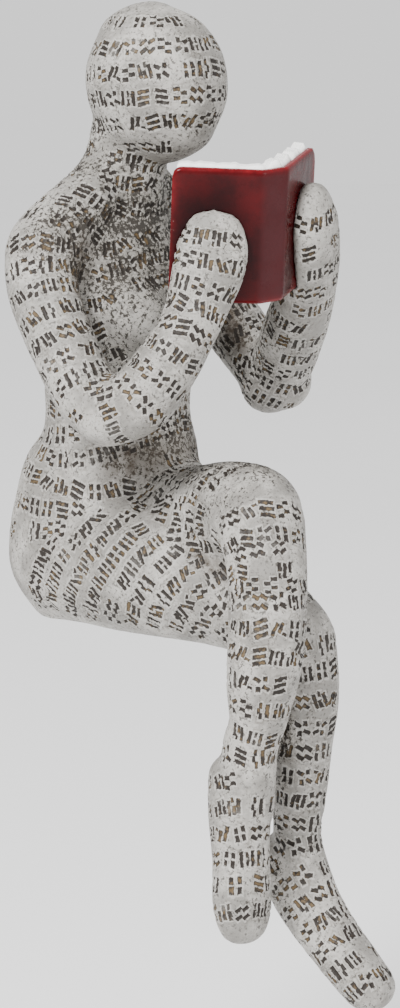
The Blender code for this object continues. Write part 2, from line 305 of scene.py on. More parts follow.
def figure_skin():
    """Trunk first, then limbs and head, fused as the casting is."""
    trunk = [limb(TORSO), limb(NECK), limb(UNDER_THIGH), limb(OVER_THIGH)]
    for mirror in (1, -1):
        trunk += [limb(SHOULDER, side=UPWARDS, mirror=mirror)]
        trunk += [egg(BREAST, mirror=mirror), egg(BUTTOCK, mirror=mirror)]
    points, faces = fused(trunk, TRUNK_SMOOTH_ROUNDS)
    limbs = [
        egg(HEAD, tip=HEAD_TIP, taper=CHIN_TAPER), limb(UPPER_ARM), limb(UPPER_ARM, mirror=-1),
        limb(NEAR_FOREARM, side=NEAR_PALM), limb(FAR_FOREARM, side=FAR_PALM),
        limb(UNDER_SHIN), limb(UNDER_FOOT), limb(OVER_SHIN), limb(OVER_FOOT),
    ]
    return outer_shell(*fused([(points, faces.tolist()), *limbs], SMOOTH_ROUNDS))


def point_normals(points, triangles):
    """Each point's normal: the sum of its triangles' area normals."""
    a, b, c = (points[triangles[:, i]] for i in range(3))
    area = np.cross(b - a, c - a)
    total = np.zeros_like(points)
    for i in range(3):
        for axis in range(3):
            total[:, axis] += np.bincount(triangles[:, i], area[:, axis], len(points))
    return total / np.maximum(np.linalg.norm(total, axis=1, keepdims=True), 1e-12)


def nearest(targets, points, chunk=4000):
    """For each point, the index of the closest target and how far away it is."""
    index = np.empty(len(points), int)
    away = np.empty(len(points))
    square = (targets**2).sum(1)
    for start in range(0, len(points), chunk):
        part = points[start:start + chunk]
        d = square[None] - 2 * part @ targets.T
        best = d.argmin(1)
        index[start:start + chunk] = best
        away[start:start + chunk] = np.linalg.norm(part - targets[best], axis=1)
    return index, away


def split_edges(points, triangles, wanted):
    """Cuts every wanted edge at its middle and each triangle into two, three or four to suit."""
    pairs = np.sort(np.stack([triangles, np.roll(triangles, -1, axis=1)], -1).reshape(-1, 2), axis=1)
    edges, which = np.unique(pairs, axis=0, return_inverse=True)
    which = which.reshape(-1, 3)
    cut = wanted(points, edges)
    middle = np.full(len(edges), -1)
    middle[cut] = len(points) + np.arange(cut.sum())
    points = np.vstack([points, points[edges[cut]].mean(axis=1)])
    mids = middle[which]
    count = (mids >= 0).sum(axis=1)
    out = [triangles[count == 0]]
    one, two, three = (count == number for number in (1, 2, 3))
    first = (mids[one] >= 0).argmax(axis=1)
    (a, b, c), (d, _, _) = turned(triangles[one], first).T, turned(mids[one], first).T
    out += corners((a, d, c), (d, b, c))
    first = ((mids[two] < 0).argmax(axis=1) + 1) % 3
    (a, b, c), (d, e, _) = turned(triangles[two], first).T, turned(mids[two], first).T
    out += corners((d, b, e), (a, d, e), (a, e, c))
    (a, b, c), (d, e, f) = triangles[three].T, mids[three].T
    out += corners((a, d, f), (d, b, e), (f, e, c), (d, e, f))
    return points, np.vstack(out)


def corners(*faces):
    return [np.stack(face, -1) for face in faces]


def turned(rows, lead):
    """Each row of three rolled so that its lead column comes first."""
    return np.take_along_axis(rows, (lead[:, None] + np.arange(3)) % 3, axis=1)


# Each mark is a few short bars and blocks, side by side and apart: centre x, y, half-length, half-thickness
# and turn in degrees. Places and lengths are shares of the mark's half-width and half-height.
MARKS = [
    [(-0.74, 0.28, 0.62, 1.15, 90), (0.0, -0.12, 0.86, 1.15, 90), (0.74, 0.30, 0.55, 1.15, 90),
     (0.72, -0.74, 0.18, 1.5, 0)],
    [(-0.55, 0.0, 0.92, 1.2, 66), (0.35, 0.18, 0.70, 1.2, 66), (0.86, -0.62, 0.20, 1.5, 66)],
    [(-0.46, 0.78, 0.46, 1.15, 0), (0.48, 0.27, 0.46, 1.15, 0), (-0.46, -0.27, 0.46, 1.15, 0),
     (0.48, -0.78, 0.46, 1.15, 0)],
    [(-0.52, 0.52, 0.30, 2.1, 0), (0.54, 0.46, 0.28, 1.9, 0), (-0.48, -0.54, 0.28, 1.9, 0),
     (0.52, -0.56, 0.32, 2.1, 0)],
    [(-0.5, 0.52, 0.54, 1.2, 34), (0.52, 0.56, 0.50, 1.2, 34), (-0.5, -0.50, 0.50, 1.2, 34),
     (0.54, -0.50, 0.54, 1.2, 34)],
    [(0.0, 0.76, 0.92, 1.2, 14), (0.0, 0.02, 0.92, 1.2, 14), (0.0, -0.74, 0.92, 1.2, 14)],
    [(-0.68, 0.05, 0.86, 1.1, 74), (0.0, -0.30, 0.52, 1.2, 74), (0.68, 0.05, 0.86, 1.1, 74),
     (0.08, 0.78, 0.20, 1.5, 0)],
    [(-0.72, 0.0, 0.95, 1.3, 90), (0.30, 0.74, 0.22, 1.9, 0), (0.56, 0.0, 0.22, 1.9, 0),
     (0.26, -0.74, 0.22, 1.9, 0)],
    [(-0.78, 0.0, 0.90, 1.1, 90), (0.0, 0.48, 0.20, 1.9, 0), (0.0, -0.48, 0.20, 1.9, 0),
     (0.80, 0.0, 0.90, 1.1, 90)],
    [(-0.62, 0.50, 0.50, 1.2, -30), (0.42, 0.66, 0.30, 1.6, 0), (-0.40, -0.62, 0.30, 1.6, 0),
     (0.60, -0.42, 0.50, 1.2, -30)],
]
STROKES_PER_MARK = 4


def strokes_of(kind, flip, upside):
    """The strokes of one mark in mm, as rows of centre, half-length, half-thickness and direction."""
    rows = np.zeros((STROKES_PER_MARK, 6))
    rows[:, 0] = 99
    rows[:, 4] = 1
    for i, (x, y, half, thick, turn) in enumerate(MARKS[kind]):
        angle = math.radians(turn)
        reach = half * math.hypot(MARK_HALF_WIDTH * math.cos(angle), MARK_HALF_HEIGHT * math.sin(angle))
        rows[i, :2] = (x * MARK_HALF_WIDTH * flip, y * MARK_HALF_HEIGHT * upside)
        rows[i, 2:4] = (reach, STROKE_HALF * thick)
        rows[i, 4:] = (math.cos(angle) * flip, math.sin(angle) * upside)
    return rows


def ring_marks(stations, start, end, seed, side=SIDEWAYS, mirror=1, lean=(0, 0, 0)):
    """Places of marks along rings round a limb, a row step apart, each ring leaning by lean on its own point.

    Gives the place, the direction along the row and a rough outward normal of every mark.
    """
    rows = spline(stations, 24)
    rows[:, 0] *= mirror
    length = np.concatenate([[0], np.cumsum(np.linalg.norm(np.diff(rows[:, :3], axis=0), axis=1))])
    table = np.hstack([rows, *limb_frames(rows, side)])
    rng = np.random.default_rng(seed)
    turn = np.radians(np.linspace(0, 360, 361))
    places, runs, normals = [], [], []
    for level in np.arange(start, length[-1] - end, ROW_STEP):
        at = np.full(len(turn), level)
        for _ in range(3):
            row = np.stack([np.interp(at, length, column) for column in table.T], -1)
            across, depth = row[:, 8:11], row[:, 11:14]
            ring = across * (row[:, 3] * np.cos(turn))[:, None] + depth * (row[:, 4] * np.sin(turn))[:, None]
            at = level + ring @ np.array(lean, float)
        point = row[:, :3] + ring
        out = across * (np.cos(turn) / row[:, 3])[:, None] + depth * (np.sin(turn) / row[:, 4])[:, None]
        out /= np.linalg.norm(out, axis=1, keepdims=True)
        run = np.gradient(point, axis=0)
        run /= np.linalg.norm(run, axis=1, keepdims=True)
        travelled = np.concatenate([[0], np.cumsum(np.linalg.norm(np.diff(point, axis=0), axis=1))])
        where, here = [], rng.random() * MARK_PITCH
        while here < travelled[-1] - MARK_PITCH * 0.8:
            if rng.random() > MARK_GAP:
                where.append(here)
            here += MARK_PITCH * (0.94 + 0.14 * rng.random()) * (1.0 if rng.random() > MARK_GAP else 1.5)
        for store, values in ((places, point), (runs, run), (normals, out)):
            store.append(np.stack([np.interp(where, travelled, column) for column in values.T], -1))
    return np.vstack(places), np.vstack(runs), np.vstack(normals)


def all_marks():
    """Rows of marks over every limb, in the order in which they claim their ground."""
    head = egg_stations(HEAD, 4, CHIN_TAPER, angles=(-76, -55, -30, -10, 10, 30, 55, 78))
    chest = (0.13, -0.17, 0.0)
    return [
        ring_marks(NEAR_FOREARM, side=NEAR_PALM, start=2.4, end=0.2, seed=3),
        ring_marks(UPPER_ARM, side=SIDEWAYS, mirror=1, start=0.5, end=0.0, seed=4),
        ring_marks(FAR_FOREARM, side=FAR_PALM, start=1.0, end=0.0, seed=5),
        ring_marks(UPPER_ARM, side=SIDEWAYS, mirror=-1, start=0.5, end=0.0, seed=6),
        ring_marks(OVER_SHIN, start=1.0, end=9.5, seed=7),
        ring_marks(OVER_FOOT, start=0.5, end=-0.5, seed=8),
        ring_marks(UNDER_SHIN, start=1.5, end=7.0, seed=9),
        ring_marks(UNDER_FOOT, start=1.0, end=-0.5, seed=10),
        ring_marks(head, start=2.6, end=0.2, seed=11),
        ring_marks(OVER_THIGH, start=12.0, end=1.0, lean=(0, 0, 0.35), seed=12),
        ring_marks(UNDER_THIGH, start=13.0, end=1.0, lean=(0, 0, 0.5), seed=13),
        ring_marks(TORSO, start=1.0, end=1.0, lean=chest, seed=14),
        ring_marks(UNDER_THIGH, start=4.0, end=30.0, lean=(0, 0, 0.5), seed=18),
        ring_marks(NECK, start=6.0, end=4.0, seed=15),
        ring_marks(SHOULDER, side=UPWARDS, start=6.0, end=0.5, seed=16),
        ring_marks(SHOULDER, side=UPWARDS, mirror=-1, start=6.0, end=0.5, seed=17),
        ring_marks(OVER_KNEE, start=1.0, end=0.5, seed=19),
    ]


def settle_marks(skin, normals):
    """Marks moved onto the skin, each kept only where its own limb is bare and no other mark is near."""
    found = all_marks()
    place, run, out = (np.vstack([group[i] for group in found]) for i in range(3))
    index, away = nearest(skin, place)
    lift = ((skin[index] - place) * normals[index]).sum(1)
    normal = normals[index]
    good = (np.abs(lift) < MARK_LIFT) & (away < MARK_REACH) & ((normal * out).sum(1) > MARK_FACING)
    centre = place + normal * lift[:, None]
    by_seat = (centre[:, 2] > SEAT_BAND[0]) & (centre[:, 2] < SEAT_BAND[1]) & (centre[:, 1] > SEAT_FRONT - 1)
    good &= ~by_seat
    good &= ~by_the_book(centre, MARK_CLEARANCE)
    kept = []
    for i in np.flatnonzero(good):
        if kept:
            gap = centre[kept] - centre[i]
            distance = np.linalg.norm(gap, axis=1)
            if distance.min() < MARK_SPACING:
                continue
        kept.append(i)
    centre, run, normal = centre[kept], run[kept], normal[kept]
    run = run - (run * normal).sum(1, keepdims=True) * normal
    run /= np.linalg.norm(run, axis=1, keepdims=True)
    up = np.cross(normal, run)
    rng = np.random.default_rng(21)
    turn = np.radians(rng.normal(0, 5, len(centre)))[:, None]
    run, up = run * np.cos(turn) + up * np.sin(turn), up * np.cos(turn) - run * np.sin(turn)
    kinds = rng.integers(0, len(MARKS), len(centre))
    flips = rng.choice((-1, 1), (len(centre), 2))
    strokes = np.stack([strokes_of(k, f, u) for k, (f, u) in zip(kinds, flips)])
    size = rng.uniform(0.9, 1.08, len(centre))
    strokes[:, :, :4] *= size[:, None, None]
    tone, faint = rng.random(len(centre)), rng.random(len(centre))
    return dict(centre=centre, run=run, up=up, normal=normal, strokes=strokes, tone=tone, faint=faint)


def stroke_depths(points, marks):
    """How far, in mm, each point lies inside the nearest mark's closest stroke, negative outside it.

    A stroke is a bar: the distance inside is the lesser of what is left of its length and its thickness.
    """
    order, away = nearest(marks["centre"], points)
    rel = points - marks["centre"][order]
    x = (rel * marks["run"][order]).sum(1)
    y = (rel * marks["up"][order]).sum(1)
    z = (rel * marks["normal"][order]).sum(1)
    bars = marks["strokes"][order]
    dx, dy = x[:, None] - bars[:, :, 0], y[:, None] - bars[:, :, 1]
    u = np.abs(dx * bars[:, :, 4] + dy * bars[:, :, 5])
    v = np.abs(dy * bars[:, :, 4] - dx * bars[:, :, 5])
    inside = np.minimum(bars[:, :, 2] - u, bars[:, :, 3] - v)
    corner = np.hypot(np.maximum(u - bars[:, :, 2], 0), np.maximum(v - bars[:, :, 3], 0))
    inside = np.where(inside < 0, -corner, inside).max(axis=1)
    inside = np.where((away > MARK_EXTENT) | (np.abs(z) > MARK_HEIGHT_REACH), -1.0, inside)
    return np.clip(inside, -1.0, 0.5), marks["faint"][order]


def stroke_frames(points, triangles, marks):
    """Each corner's place along and across its own triangle's four bars, with the bar's half-length.

    A triangle belongs to the mark closest to its middle. Places across are scaled to one thickness of bar.
    """
    order, away = nearest(marks["centre"], points[triangles].mean(axis=1))
    rel = points[triangles] - marks["centre"][order][:, None]
    x, y, z = ((rel * marks[key][order][:, None]).sum(2)[..., None] for key in ("run", "up", "normal"))
    bars = marks["strokes"][order][:, None]
    dx, dy = x - bars[..., 0], y - bars[..., 1]
    u = dx * bars[..., 4] + dy * bars[..., 5]
    v = (dy * bars[..., 4] - dx * bars[..., 5]) * STROKE_HALF / np.maximum(bars[..., 3], 0.01)
    half = np.broadcast_to(bars[..., 2], u.shape).copy()
    half[(away > MARK_EXTENT) | (np.abs(z[:, :, 0]).max(axis=1) > 2.2)] = -5
    return np.stack([u, v, half], -1), marks["tone"][order], marks["faint"][order]


# Where old wash has gathered: two ends of a line in mm, its radius, and how strong it is there.
WASH_LINES = [
    ((-6, 2, 84), (7, -6, 84), 11, 0.85), ((-20, -8, 72), (14, -10, 72), 10, 1.1),
    ((-14, -12, 64), (12, -12, 62), 10, 1.0), ((-19, -7, 66), (-20, -12, 50), 5, 1.0),
    ((-12, -12, 50), (8, -12, 48), 7, 0.75), ((19, -7, 66), (20, -12, 50), 5, 1.0),
    ((-12, -13, 33), (10, -13, 33), 7, 0.85), ((0, -28, 30), (-10, -38, 32), 11, 0.95),
    ((6, -14, 28), (8, 0, 26), 7, 0.7), ((26, -14, 42), (16, -26, 54), 8, 0.55),
    ((-16, -44, 8), (-15, -46, -14), 5, 0.9), ((-17, -44, -20), (-18, -46, -44), 5, 0.8),
    ((-9, -44, -34), (-9, -50, -48), 7, 0.45), ((0, -16, 88), (0, -18, 90), 6, 0.7),
    ((-24, -18, 46), (-17, -14, 46), 5, 0.9), ((0, 8, 80), (0, 12, 60), 6, 0.3),
    ((-10, -42, 14), (-12, -36, 14), 5, 0.7), ((10, -34, 66), (6, -37, 72), 4, 0.6),
    ((-24, 2, 70), (-26, -8, 52), 7, 0.32), ((0, -8, 112), (0, -12, 84), 12, 0.22),
    ((-18, 6, 30), (-20, -6, 6), 9, 0.25), ((-20, -40, 30), (-20, -30, 30), 8, 0.5),
    ((-26, -52, 2), (-25, -52, -40), 5, 0.28), ((-12, -36, 78), (-14, -33, 60), 5, 0.30),
]


# Painted shade: where creases are painted dark brown for the shadow that falls in them, in the same terms.
CREASE_SHADE_LINES = [
    ((-18.5, -6, 68), (-20.5, -13, 49), 2.4, 0.9), ((-20, -14, 46), (-17, -12, 40), 3.2, 0.9),
    ((-14, -11, 30), (8, -12, 30), 3.4, 0.9), ((-4, -10, 25), (-13, -20, 20.5), 2.2, 0.9),
    ((-13, -20, 20.5), (-17, -33, 15.5), 1.8, 0.8), ((-17, -33, 15.5), (-17, -42, 12), 1.8, 0.8),
    ((0, -14, 84), (0, -18, 86), 3.6, 0.7), ((-16, -46, 6), (-16, -46, -16), 2.6, 0.8),
    ((-17, -45, -18), (-17.5, -46, -44), 2.2, 0.8), ((18.5, -6, 68), (20.5, -13, 49), 2.4, 0.9),
    ((12, -31, 60), (6, -35, 70), 2.6, 0.7), ((-25, -15, 48), (-21, -20, 47.5), 2.0, 0.6),
    ((-9, -45, -37), (-7, -45, -37), 2.2, 0.5), ((6, -8, 30), (10, 2, 30), 2.6, 0.5),
]


def wash_and_shade(points, lines):
    """How strong the lines are at each point, as wash or as painted shade: the strongest line's, falling as
    exp of minus distance squared.
    """
    amount = np.zeros(len(points))
    for first, second, radius, strength in lines:
        a, b = np.array(first, float), np.array(second, float)
        t = np.clip(((points - a) @ (b - a)) / ((b - a) @ (b - a)), 0, 1)
        distance = np.linalg.norm(points - a - t[:, None] * (b - a), axis=1)
        amount = np.maximum(amount, strength * np.exp(-(distance / radius) ** 2))
    return amount


def lattice_noise(points, size, seed):
    """Smooth noise from -1 to 1: a hashed value at each lattice corner, blended by cubic weights."""
    p = points / size
    low = np.floor(p).astype(np.int64)
    f = p - low
    f = f * f * (3 - 2 * f)
    total = np.zeros(len(points))
    for corner in np.ndindex(2, 2, 2):
        c = low + np.array(corner)
        h = (c[:, 0] * 73856093) ^ (c[:, 1] * 19349663) ^ (c[:, 2] * 83492791) ^ (seed * 2654435761)
        h = (h ^ (h >> 13)) * 1274126177 & 0xFFFFFFFF
        h = (h ^ (h >> 16)) & 0xFFFFFF
        weight = np.prod(np.where(np.array(corner) == 1, f, 1 - f), axis=1)
        total += weight * (h / 0x7FFFFF - 1)
    return total


def book_axes():
    """Rotation whose columns are the book's run, its reader's side and its height."""
    turn = Euler([math.radians(a) for a in (BOOK_LEAN, BOOK_ROLL, BOOK_TURN)]).to_matrix()
    return np.array(turn)


def board_sides(points):
    """For each board: its outward direction in plan, and how far each point is past its outer face."""
    local = (points - BOOK_PLACE) @ book_axes()
    opening = math.radians(BOARD_OPENING)
    tall = (local[:, 2] > -0.5) & (local[:, 2] < BOOK_HEIGHT + 0.7)
    for side, corner in ((-1, 0), (1, SPINE_WIDTH)):
        run = np.array([side * math.cos(opening), math.sin(opening)])
        out = np.array([side * math.sin(opening), -math.cos(opening)])
        flat = local[:, :2] - np.array([corner, 0])
        along, past = flat @ run, flat @ out
        yield out, past, tall & (along > -0.4) & (along < BOARD_WIDTH + 0.5)


def by_the_book(points, reach):
    """True where a point is inside a board or nearer its outer face than reach."""
    close = np.zeros(len(points), bool)
    for _, past, beside in board_sides(points):
        close |= beside & (past > -4) & (past < reach)
    return close


def clear_book_and_seat(points):
    """Points that reach a little into a board are moved outside it, and the seat's underside is flat.

    Deeper points and points past a board's end stay, so the far hand's heel crosses the far cover.
    """
    axes = book_axes()
    for out, past, beside in list(board_sides(points)):
        hit = beside & (past < FINGER_GAP) & (past > -BOARD_DEPTH)
        points[hit] += (FINGER_GAP - past[hit])[:, None] * (axes[:, :2] @ out)
    seat = (points[:, 1] > SEAT_FRONT) & (points[:, 2] < 0) & (points[:, 2] > SEAT_DIP)
    points[seat, 2] = 0
    return points


def store(mesh, domain="POINT", **values):
    for name, numbers in values.items():
        mesh.attributes.new(name, "FLOAT", domain).data.foreach_set("value", numbers.astype(np.float32))


def woman():
    """The figure: the fused skin with its rows of marks pressed in and its rough places raised."""
    points, quads = figure_skin()
    triangles = np.vstack([quads[:, [0, 1, 2]], quads[:, [0, 2, 3]]])
    normals = point_normals(points, triangles)
    marks = settle_marks(points, normals)

    def near_strokes(at, edges):
        depth = stroke_depths(at, marks)[0]
        length = np.linalg.norm(at[edges[:, 0]] - at[edges[:, 1]], axis=1)
        return (np.abs(depth[edges]) < FINE_BAND).any(axis=1) & (length > FINE_EDGE)

    points, triangles = split_edges(points, triangles, near_strokes)
    normals = point_normals(points, triangles)
    depth, faint = stroke_depths(points, marks)
    frames, face_tone, face_faint = stroke_frames(points, triangles, marks)
    # crease is painted shade, darkening the creases where shadow falls in them.
    wash, crease = np.maximum(wash_and_shade(points, WASH_LINES), THIN_WASH), wash_and_shade(points, CREASE_SHADE_LINES)
    worn = FAINT_PRESS + (1 - FAINT_PRESS) * np.clip(faint / FAINT_SHARE, 0, 1)
    press = PRESS_DEPTH * worn * np.clip((depth + PRESS_LIP) / PRESS_WALL, 0, 1)
    rough = ROUGHNESS * (lattice_noise(points, 1.3, 5) + lattice_noise(points, 0.8, 6))
    waves = WAVINESS * lattice_noise(points, 6.0, 7)
    points = points + normals * (waves + rough * (0.25 + wash) - press)[:, None]
    points = clear_book_and_seat(points)
    mesh = bpy.data.meshes.new("woman_skin")
    mesh.from_pydata((points * MM).tolist(), [], triangles.tolist())
    store(mesh, wash=wash, crease=crease)
    store(mesh, "CORNER", tone=np.repeat(face_tone, 3), faint=np.repeat(face_faint, 3))
    for i in range(STROKES_PER_MARK):
        values = frames[:, :, i].astype(np.float32).reshape(-1)
        mesh.attributes.new(f"bar_{i}", "FLOAT_VECTOR", "CORNER").data.foreach_set("vector", values)
    mesh.shade_smooth()
    piece = bpy.data.objects.new("woman_skin", mesh)
    bpy.context.scene.collection.objects.link(piece)
    print("woman_skin triangles", len(triangles), "marks", len(marks["centre"]))
    return piece


def new_material(name):
    """A material, its tree, its shader and the object coordinates."""
    made = bpy.data.materials.new(name)
    made.use_nodes = True
    tree = made.node_tree
    return made, tree, tree.nodes["Principled BSDF"], put(tree, "ShaderNodeTexCoord").outputs["Object"]


def put(tree, kind, **settings):
    """A node with its settings and unlinked values; a socket is given by its number as in_0."""
    node = tree.nodes.new(kind)
    for key, value in settings.items():
        if key.startswith("in_"):
            node.inputs[int(key[3:])].default_value = value
        else:
            setattr(node, key, value)
    return node


def math_node(tree, operation, first, second=None, clamp=False):
    node = put(tree, "ShaderNodeMath", operation=operation, use_clamp=clamp)
    for i, value in enumerate((first, second)):
        if value is None:
            continue
        if isinstance(value, (int, float)):
            node.inputs[i].default_value = value
        else:
            tree.links.new(value, node.inputs[i])
    return node.outputs[0]


def times(tree, first, second):
    return math_node(tree, "MULTIPLY", first, second)


def plus(tree, first, second):
    return math_node(tree, "ADD", first, second)


def step_node(tree, value, low, high, to_low=0.0, to_high=1.0):
    """Smooth change from to_low to to_high as the value goes from low to high."""
    node = put(tree, "ShaderNodeMapRange", interpolation_type="SMOOTHSTEP")
    tree.links.new(value, node.inputs["Value"])
    for key, number in (("From Min", low), ("From Max", high), ("To Min", to_low), ("To Max", to_high)):
        node.inputs[key].default_value = number
    return node.outputs["Result"]


def mix_colour(tree, factor, first, second):
    node = put(tree, "ShaderNodeMix", data_type="RGBA")
    for key, value in ((0, factor), (6, first), (7, second)):
        if isinstance(value, tuple):
            node.inputs[key].default_value = (*value, 1)
        elif isinstance(value, (int, float)):
            node.inputs[key].default_value = value
        else:
            tree.links.new(value, node.inputs[key])
    return node.outputs[2]


def noise_node(tree, coords, scale, detail=3.0, rough=0.55):
    node = put(tree, "ShaderNodeTexNoise")
    tree.links.new(coords, node.inputs["Vector"])
    node.inputs["Scale"].default_value = scale
    node.inputs["Detail"].default_value = detail
    node.inputs["Roughness"].default_value = rough
    return node.outputs["Fac"]


def attribute(tree, name):
    return put(tree, "ShaderNodeAttribute", attribute_name=name).outputs["Fac"]


def new_group(name, values):
    """An empty group with a Vector input, the given number inputs and one output, Amount."""
    group = bpy.data.node_groups.new(name, "ShaderNodeTree")
    group.interface.new_socket("Vector", in_out="INPUT", socket_type="NodeSocketVector")
    for label, number in values:
        socket = group.interface.new_socket(label, in_out="INPUT", socket_type="NodeSocketFloat")
        socket.default_value = number
    group.interface.new_socket("Amount", in_out="OUTPUT", socket_type="NodeSocketFloat")
    given, made = group.nodes.new("NodeGroupInput"), group.nodes.new("NodeGroupOutput")
    return group, given.outputs, made.inputs["Amount"]


def patches_group():
    """Soft patches: noise at Scale, stepped smoothly from nought at Low to one at High."""
    group, given, amount = new_group("soft_patches", (("Scale", 130.0), ("Low", 0.35), ("High", 0.68)))
    noise = put(group, "ShaderNodeTexNoise")
    noise.inputs["Detail"].default_value = 4
    noise.inputs["Roughness"].default_value = 0.6
    group.links.new(given["Vector"], noise.inputs["Vector"])
    group.links.new(given["Scale"], noise.inputs["Scale"])
    step = put(group, "ShaderNodeMapRange", interpolation_type="SMOOTHSTEP")
    group.links.new(noise.outputs["Fac"], step.inputs["Value"])
    group.links.new(given["Low"], step.inputs["From Min"])
    group.links.new(given["High"], step.inputs["From Max"])
    group.links.new(step.outputs["Result"], amount)
    return group


def broken_group(patches):
    """A mask broken up: Mask times a blend from Least to one by soft patches at Scale."""
    group, given, amount = new_group("broken_mask", (("Mask", 1.0), ("Scale", 500.0), ("Least", 0.5)))
    inner = put(group, "ShaderNodeGroup", node_tree=patches)
    group.links.new(given["Vector"], inner.inputs["Vector"])
    group.links.new(given["Scale"], inner.inputs["Scale"])
    inner.inputs["High"].default_value = 0.62
    blend = put(group, "ShaderNodeMapRange")
    group.links.new(inner.outputs["Amount"], blend.inputs["Value"])
    group.links.new(given["Least"], blend.inputs["To Min"])
    group.links.new(times(group, given["Mask"], blend.outputs["Result"]), amount)
    return group


def grouped(tree, group, coords, mask=None, **values):
    """One use of a shared group, with its numbers by name."""
    node = put(tree, "ShaderNodeGroup", node_tree=group)
    tree.links.new(coords, node.inputs["Vector"])
    if mask is not None:
        tree.links.new(mask, node.inputs["Mask"])
    for label, number in values.items():
        node.inputs[label].default_value = number
    return node.outputs["Amount"]


def stroke_field(tree):
    """Distance inside the nearest bar, in mm: the most, over the bars, of the lesser of the two rests."""
    best = None
    for i in range(STROKES_PER_MARK):
        parts = put(tree, "ShaderNodeSeparateXYZ")
        bar = put(tree, "ShaderNodeAttribute", attribute_name=f"bar_{i}")
        tree.links.new(bar.outputs["Vector"], parts.inputs[0])
        ends = math_node(tree, "SUBTRACT", parts.outputs[2], math_node(tree, "ABSOLUTE", parts.outputs[0]))
        sides = math_node(tree, "SUBTRACT", STROKE_HALF, math_node(tree, "ABSOLUTE", parts.outputs[1]))
        depth = math_node(tree, "MINIMUM", ends, sides)
        best = depth if best is None else math_node(tree, "MAXIMUM", best, depth)
    return best


def aged_resin():
    """Off-white cast resin, with dark and ochre wash in its strokes, flecks in its hollows, painted
    highlights on the rims of its strokes and painted brown shade in its creases.
    """
    made, tree, shader, coords = new_material("aged_resin")
    tone, faint, wash, crease = (attribute(tree, name) for name in ("tone", "faint", "wash", "crease"))
    stroke = stroke_field(tree)
    ragged = times(tree, math_node(tree, "SUBTRACT", noise_node(tree, coords, 1600, 3), 0.5), 0.50)
    edge = plus(tree, stroke, ragged)
    ink = step_node(tree, edge, -0.03, 0.07)
    fill = noise_node(tree, coords, 620, 3)
    filled = plus(tree, times(tree, fill, 0.8), times(tree, faint, 0.6))
    filled = step_node(tree, filled, 0.26, 0.50, 0.66, 1.0)
    ink = times(tree, ink, filled)
    # rim is the lip round each stroke: it carries a painted highlight in the colour and a small raise in the
    # bump.
    rim = times(tree, step_node(tree, edge, -0.32, -0.12), step_node(tree, edge, 0.02, -0.06))

    cloud = grouped(tree, PATCHES, coords, Scale=130, Low=0.38, High=0.64)
    body = mix_colour(tree, cloud, (0.200, 0.190, 0.173), (0.385, 0.368, 0.340))
    grain = noise_node(tree, coords, 1700, 5, 0.72)
    body = mix_colour(tree, step_node(tree, grain, 0.52, 0.68, 0.0, 0.70), body, (0.120, 0.110, 0.096))
    smears = step_node(tree, noise_node(tree, coords, 520, 4), 0.46, 0.62)
    halo = times(tree, step_node(tree, edge, -0.75, -0.25), smears)
    body = mix_colour(tree, times(tree, halo, 0.55), body, (0.095, 0.083, 0.066))
    # Painted highlight: the rims of the strokes are lightened as if catching the light on their edges.
    body = mix_colour(tree, times(tree, rim, 0.45), body, (0.50, 0.482, 0.452))

    flecks = noise_node(tree, coords, 1500, 4, 0.66)
    veins = put(tree, "ShaderNodeTexVoronoi", feature="DISTANCE_TO_EDGE")
    warp = put(tree, "ShaderNodeVectorMath", operation="MULTIPLY_ADD")
    warper = put(tree, "ShaderNodeTexNoise")
    warper.inputs["Scale"].default_value = 700
    tree.links.new(coords, warper.inputs["Vector"])
    tree.links.new(warper.outputs["Color"], warp.inputs[0])
    warp.inputs[1].default_value = (0.0009, 0.0009, 0.0009)
    tree.links.new(coords, warp.inputs[2])
    tree.links.new(warp.outputs[0], veins.inputs["Vector"])
    veins.inputs["Scale"].default_value = 900
    vein = step_node(tree, veins.outputs["Distance"], 0.01, 0.10, 1.0, 0.0)
    vein = times(tree, vein, step_node(tree, noise_node(tree, coords, 900, 2), 0.42, 0.58))
    local = grouped(tree, BROKEN, coords, wash, Scale=260, Least=0.45)
    fleck = step_node(tree, plus(tree, flecks, times(tree, local, 0.165)), 0.60, 0.65)
    dirt = math_node(tree, "MAXIMUM", fleck, times(tree, vein, local), clamp=True)
    dirt = times(tree, dirt, step_node(tree, local, 0.04, 0.36, 0.40, 0.95))
    tint = mix_colour(tree, step_node(tree, local, 0.15, 0.95, 0.0, 0.45), body, (0.20, 0.182, 0.152))
    body = mix_colour(tree, dirt, tint, (0.022, 0.018, 0.014))
    # Painted shade: the creases are darkened to brown where shadow falls in them.
    deep = grouped(tree, BROKEN, coords, crease, Scale=420, Least=0.45)
    body = mix_colour(tree, deep, body, (0.050, 0.036, 0.024))

    brown = plus(tree, noise_node(tree, coords, 900, 2), times(tree, tone, 0.26))
    brown = step_node(tree, brown, 0.66, 0.82)
    brown = times(tree, brown, step_node(tree, edge, 0.06, 0.20, 0.25, 1.0))
    inside = mix_colour(tree, brown, (0.014, 0.010, 0.007), (0.098, 0.064, 0.028))
    colour = mix_colour(tree, ink, body, inside)
    tree.links.new(colour, shader.inputs["Base Color"])
    rough = mix_value(tree, dirt, 0.58, 0.78)
    tree.links.new(rough, shader.inputs["Roughness"])
    shader.inputs["Specular IOR Level"].default_value = 0.35

    height = plus(tree, times(tree, step_node(tree, edge, -0.05, 0.12), -1.0), times(tree, rim, 0.25))
    height = plus(tree, height, times(tree, dirt, -0.5))
    height = plus(tree, height, times(tree, grain, 0.22))
    bumped(tree, shader, height, 0.55, 0.00022)
    return made


def bumped(tree, shader, height, strength, distance):
    bump = put(tree, "ShaderNodeBump")
    bump.inputs["Strength"].default_value = strength
    bump.inputs["Distance"].default_value = distance
    tree.links.new(height, bump.inputs["Height"])
    tree.links.new(bump.outputs[0], shader.inputs["Normal"])


def mix_value(tree, factor, first, second):
    node = put(tree, "ShaderNodeMix", data_type="FLOAT")
    tree.links.new(factor, node.inputs[0])
    node.inputs[2].default_value = first
    node.inputs[3].default_value = second
    return node.outputs[0]


